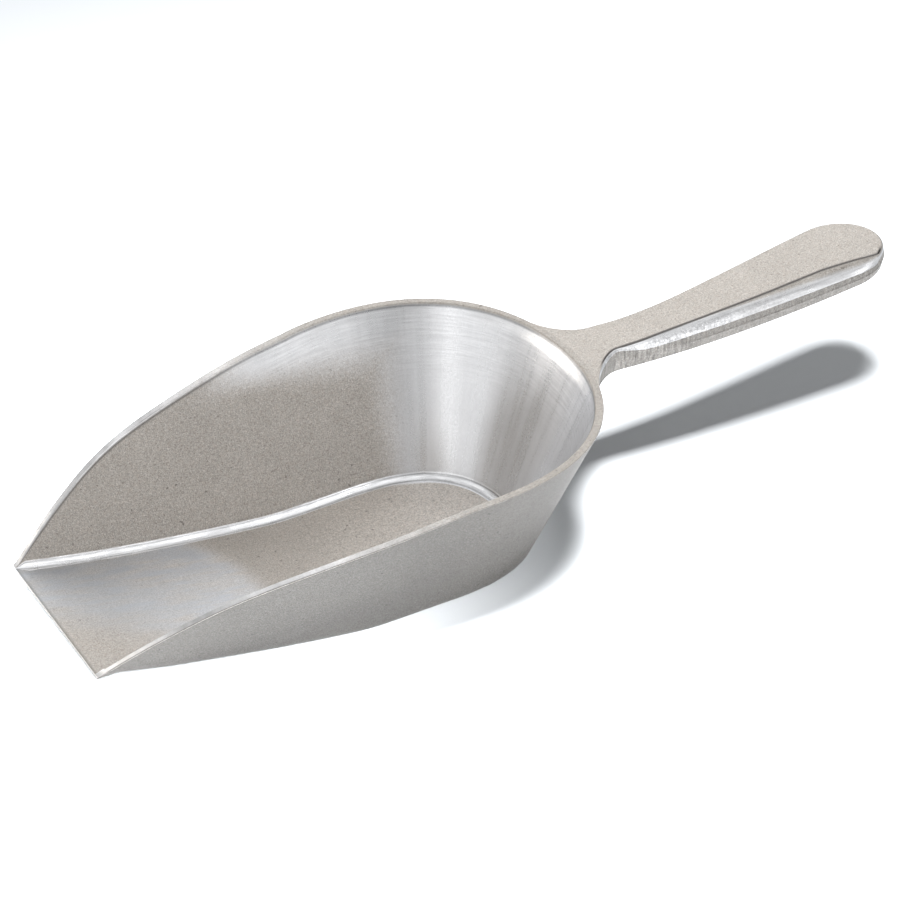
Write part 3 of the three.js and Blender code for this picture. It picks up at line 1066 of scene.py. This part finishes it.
def corner_normals(vertices, faces):
    """Normals at every face corner, smooth but for edges sharper than SHARP_ANGLE."""
    mesh = smooth_mesh("whole", vertices, faces)
    normals = np.empty(len(mesh.loops) * 3, np.float32)
    mesh.corner_normals.foreach_get("vector", normals)
    bpy.data.meshes.remove(mesh)
    return normals.reshape(-1, 3)


def renumbered(faces, used, count):
    """The same faces, with the used vertices numbered from 0."""
    number = np.full(count, -1)
    number[used] = np.arange(len(used))
    return [[int(number[i]) for i in face] for face in faces]


def used_vertices(faces):
    return np.unique(np.concatenate([np.asarray(face) for face in faces]))


def build_object(name, vertices, faces, normals, values, material):
    mesh = smooth_mesh(name, vertices, faces)
    for key, numbers in values.items():
        if numbers.ndim == 1:
            layer = mesh.attributes.new(key, "FLOAT", "POINT")
            layer.data.foreach_set("value", numbers.astype(np.float32))
        else:
            layer = mesh.attributes.new(key, "FLOAT_VECTOR", "POINT")
            layer.data.foreach_set("vector", numbers.astype(np.float32).ravel())
    mesh.normals_split_custom_set(normals.tolist())
    mesh.materials.append(material)
    piece = bpy.data.objects.new(name, mesh)
    bpy.context.scene.collection.objects.link(piece)
    return piece


def whole_scoop():
    """The scoop in one: vertices in metres, faces, normals of the face corners, the finish at each vertex,
    the ring of vertices at the split, and how many faces belong to the bowl."""
    s, parts = build_surface()
    vertices = s.all_vertices()
    for index in (parts.neck, parts.grip[1:]):
        crease = index[:, 0]
        vertices[crease, 2] -= CREASE_DEPTH * crease_share(vertices[crease, 0])
    values = finish_values(vertices, parts)

    used = used_vertices(s.faces)
    faces = renumbered(s.faces, used, len(vertices))
    values = {key: value[used] for key, value in values.items()}
    split = renumbered([parts.split], used, len(vertices))[0]
    whole = vertices[used]
    whole = roughen(whole, vertex_normals(whole, faces))
    whole[split, 0] = SPLIT_X
    metres = in_frame(whole)
    return metres, faces, corner_normals(metres, faces), values, split, parts.bowl_faces


def make_scoop():
    """The two pieces, cut at the split, each closed there with a flat cap."""
    metres, faces, normals, values, split, bowl_faces = whole_scoop()
    first_corner = np.cumsum([0] + [len(face) for face in faces])
    material = cast_aluminium()
    pieces = []
    for name, node, first, last, cap, cap_way in (
        ("scoop_bowl", "bowl", 0, bowl_faces, split[::-1], 1),
        ("scoop_handle", "handle", bowl_faces, len(faces), split, -1),
    ):
        own_faces = faces[first:last] + [cap]
        cap_normals = np.tile([cap_way, 0, 0], (len(cap), 1))
        own_normals = np.vstack([normals[first_corner[first] : first_corner[last]], cap_normals])
        kept = used_vertices(own_faces)
        piece = build_object(
            name,
            metres[kept],
            renumbered(own_faces, kept, len(metres)),
            own_normals,
            {key: value[kept] for key, value in values.items()},
            material,
        )
        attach(piece, "root")
        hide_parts(node)
        pieces.append(piece)
    return pieces


# ---------------------------------------------------------------- studio

# How bright the studio's walls are round the horizon: degrees from the front towards +X, and light.
WALLS = (
    (-180, 0.9), (-120, 0.75), (-96, 1.1), (-78, 0.6), (-62, 1.05), (-38, 0.66), (-13, 0.5), (4, 0.72),
    (24, 1.0), (60, 0.85), (180, 0.9),
)
CEILING_LIGHT = 0.9
CEILING_START = (0.45, 0.75)
WORLD_STRENGTH = 1.05

# Softboxes that light only the scoop: name, place, size in metres, watts and colour.
WHITE = (1, 1, 1)
WARM = (1, 0.93, 0.84)
SOFTBOXES = (
    ("back_softbox", (0.62, 1.15, 0.9), 1.3, 6.4, WHITE),
    ("front_softbox", (0.62, -0.90, 1.15), 0.8, 3.2, WHITE),
    ("back_left_softbox", (-1.0, 1.1, 0.45), 0.7, 4, WARM),
    ("left_softbox", (-1.2, -0.45, 0.35), 1.0, 1.15, WHITE),
)
SOFTBOX_TARGET = (0, 0, 0.04)

# Two lamps that light only the floor: one overhead, which throws the shadow, and a spot in the camera's
# place, which lightens the shadow in front of the bowl.
KEY_PLACE = (-0.02, -0.19, 0.68)
KEY_TARGET = (-0.02, -0.19, 0)
KEY_SIZE = 0.15
KEY_POWER = 46
FILL_PLACE = (-0.407, -0.725, 0.589)
FILL_TARGET = (-0.121, -0.010, 0)
FILL_POWER = 290
FILL_ANGLE = math.radians(12.7)
FILL_BLEND = 0.3
FILL_RADIUS = 0.05

STUDIO_FLOOR_SIZE = 12
# How far Cycles moves the start of shadow rays off the facets, against marks in grazing light.
TERMINATOR_OFFSET = 0.6

CAMERA_AZIMUTH = math.radians(-28.41)
CAMERA_ELEVATION = math.radians(33.96)
CAMERA_ROLL = math.radians(-1.865)
CAMERA_DISTANCE = 1.0158
CAMERA_TARGET = Vector((-0.00626, 0.01631, 0.022))
CAMERA_LENS = 113.85
CAMERA_SENSOR = 36
CAMERA_REACH = 50


def aim(thing, place, target, roll=0.0):
    """Puts a lamp or camera in its place, looking at the target."""
    back = (Vector(place) - Vector(target)).normalized()
    thing.location = place
    thing.rotation_mode = "QUATERNION"
    thing.rotation_quaternion = back.to_track_quat("Z", "Y") @ Matrix.Rotation(roll, 3, "Z").to_quaternion()


def make_camera():
    data = bpy.data.cameras.new("camera")
    data.lens = CAMERA_LENS
    data.sensor_width = CAMERA_SENSOR
    data.clip_end = CAMERA_REACH
    camera = bpy.data.objects.new("camera", data)
    bpy.context.scene.collection.objects.link(camera)
    level = math.cos(CAMERA_ELEVATION)
    back = Vector((
        math.sin(CAMERA_AZIMUTH) * level,
        -math.cos(CAMERA_AZIMUTH) * level,
        math.sin(CAMERA_ELEVATION),
    ))
    aim(camera, CAMERA_TARGET + back * CAMERA_DISTANCE, CAMERA_TARGET, CAMERA_ROLL)
    bpy.context.scene.camera = camera


def add_lamp(name, data, place, target):
    lamp = bpy.data.objects.new(name, data)
    bpy.context.scene.collection.objects.link(lamp)
    aim(lamp, place, target)
    return lamp


def area_light(name, place, target, size, power, colour):
    data = bpy.data.lights.new(name, "AREA")
    data.shape = "SQUARE"
    data.size = size
    data.energy = power
    data.color = colour
    lamp = add_lamp(name, data, place, target)
    lamp.visible_camera = False
    return lamp


def fill_spot():
    data = bpy.data.lights.new("floor_fill", "SPOT")
    data.energy = FILL_POWER
    data.shadow_soft_size = FILL_RADIUS
    data.spot_size = FILL_ANGLE
    data.spot_blend = FILL_BLEND
    return add_lamp("floor_fill", data, FILL_PLACE, FILL_TARGET)


def studio_world():
    """An even pale studio whose walls are a little brighter and darker by turns round the horizon."""
    world = bpy.data.worlds.new("studio")
    n = Nodes(world)
    parts = n.new("ShaderNodeSeparateXYZ")
    n.put(parts.inputs[0], n.new("ShaderNodeTexCoord").outputs["Generated"])
    heading = n.math("ARCTAN2", parts.outputs["X"], n.times(parts.outputs["Y"], -1.0))
    ramp = n.new("ShaderNodeValToRGB")
    n.put(ramp.inputs[0], n.remap(heading, -math.pi, math.pi))
    ramp.color_ramp.interpolation = "EASE"
    while len(ramp.color_ramp.elements) < len(WALLS):
        ramp.color_ramp.elements.new(0.5)
    for element, (degrees, light) in zip(ramp.color_ramp.elements, WALLS):
        element.position = degrees / 360 + 0.5
        element.color = (light, light, light, 1)
    ceiling = (CEILING_LIGHT, CEILING_LIGHT, CEILING_LIGHT, 1)
    light = n.mix(n.remap(parts.outputs["Z"], *CEILING_START), ramp.outputs[0], ceiling)
    back = n.new("ShaderNodeBackground")
    n.put(back.inputs["Color"], light)
    back.inputs["Strength"].default_value = WORLD_STRENGTH
    out = n.new("ShaderNodeOutputWorld")
    n.put(out.inputs["Surface"], back.outputs[0])
    return world


def make_floor():
    bpy.ops.mesh.primitive_plane_add(size=STUDIO_FLOOR_SIZE, location=(0, 0, CAD_BOX[0][2]))
    floor = bpy.context.object
    floor.name = "studio_floor"
    floor.data.materials.append(floor_material())
    return floor


def light_only(lamps, name, things):
    """Lets the lamps light nothing but these things."""
    group = bpy.data.collections.new(name)
    bpy.context.scene.collection.children.link(group)
    for thing in things:
        group.objects.link(thing)
    for lamp in lamps:
        lamp.light_linking.receiver_collection = group


def make_studio(pieces):
    floor = make_floor()
    bpy.context.scene.world = studio_world()
    bpy.context.scene.view_settings.view_transform = "Standard"
    key = area_light("floor_key", KEY_PLACE, KEY_TARGET, KEY_SIZE, KEY_POWER, WHITE)
    softboxes = [
        area_light(name, place, SOFTBOX_TARGET, size, power, colour)
        for name, place, size, power, colour in SOFTBOXES
    ]
    fill = fill_spot()
    light_only(softboxes, "scoop", pieces)
    light_only([key, fill], "ground", [floor])
    for piece in pieces:
        piece.cycles.shadow_terminator_geometry_offset = TERMINATOR_OFFSET


make_camera()
make_studio(make_scoop())
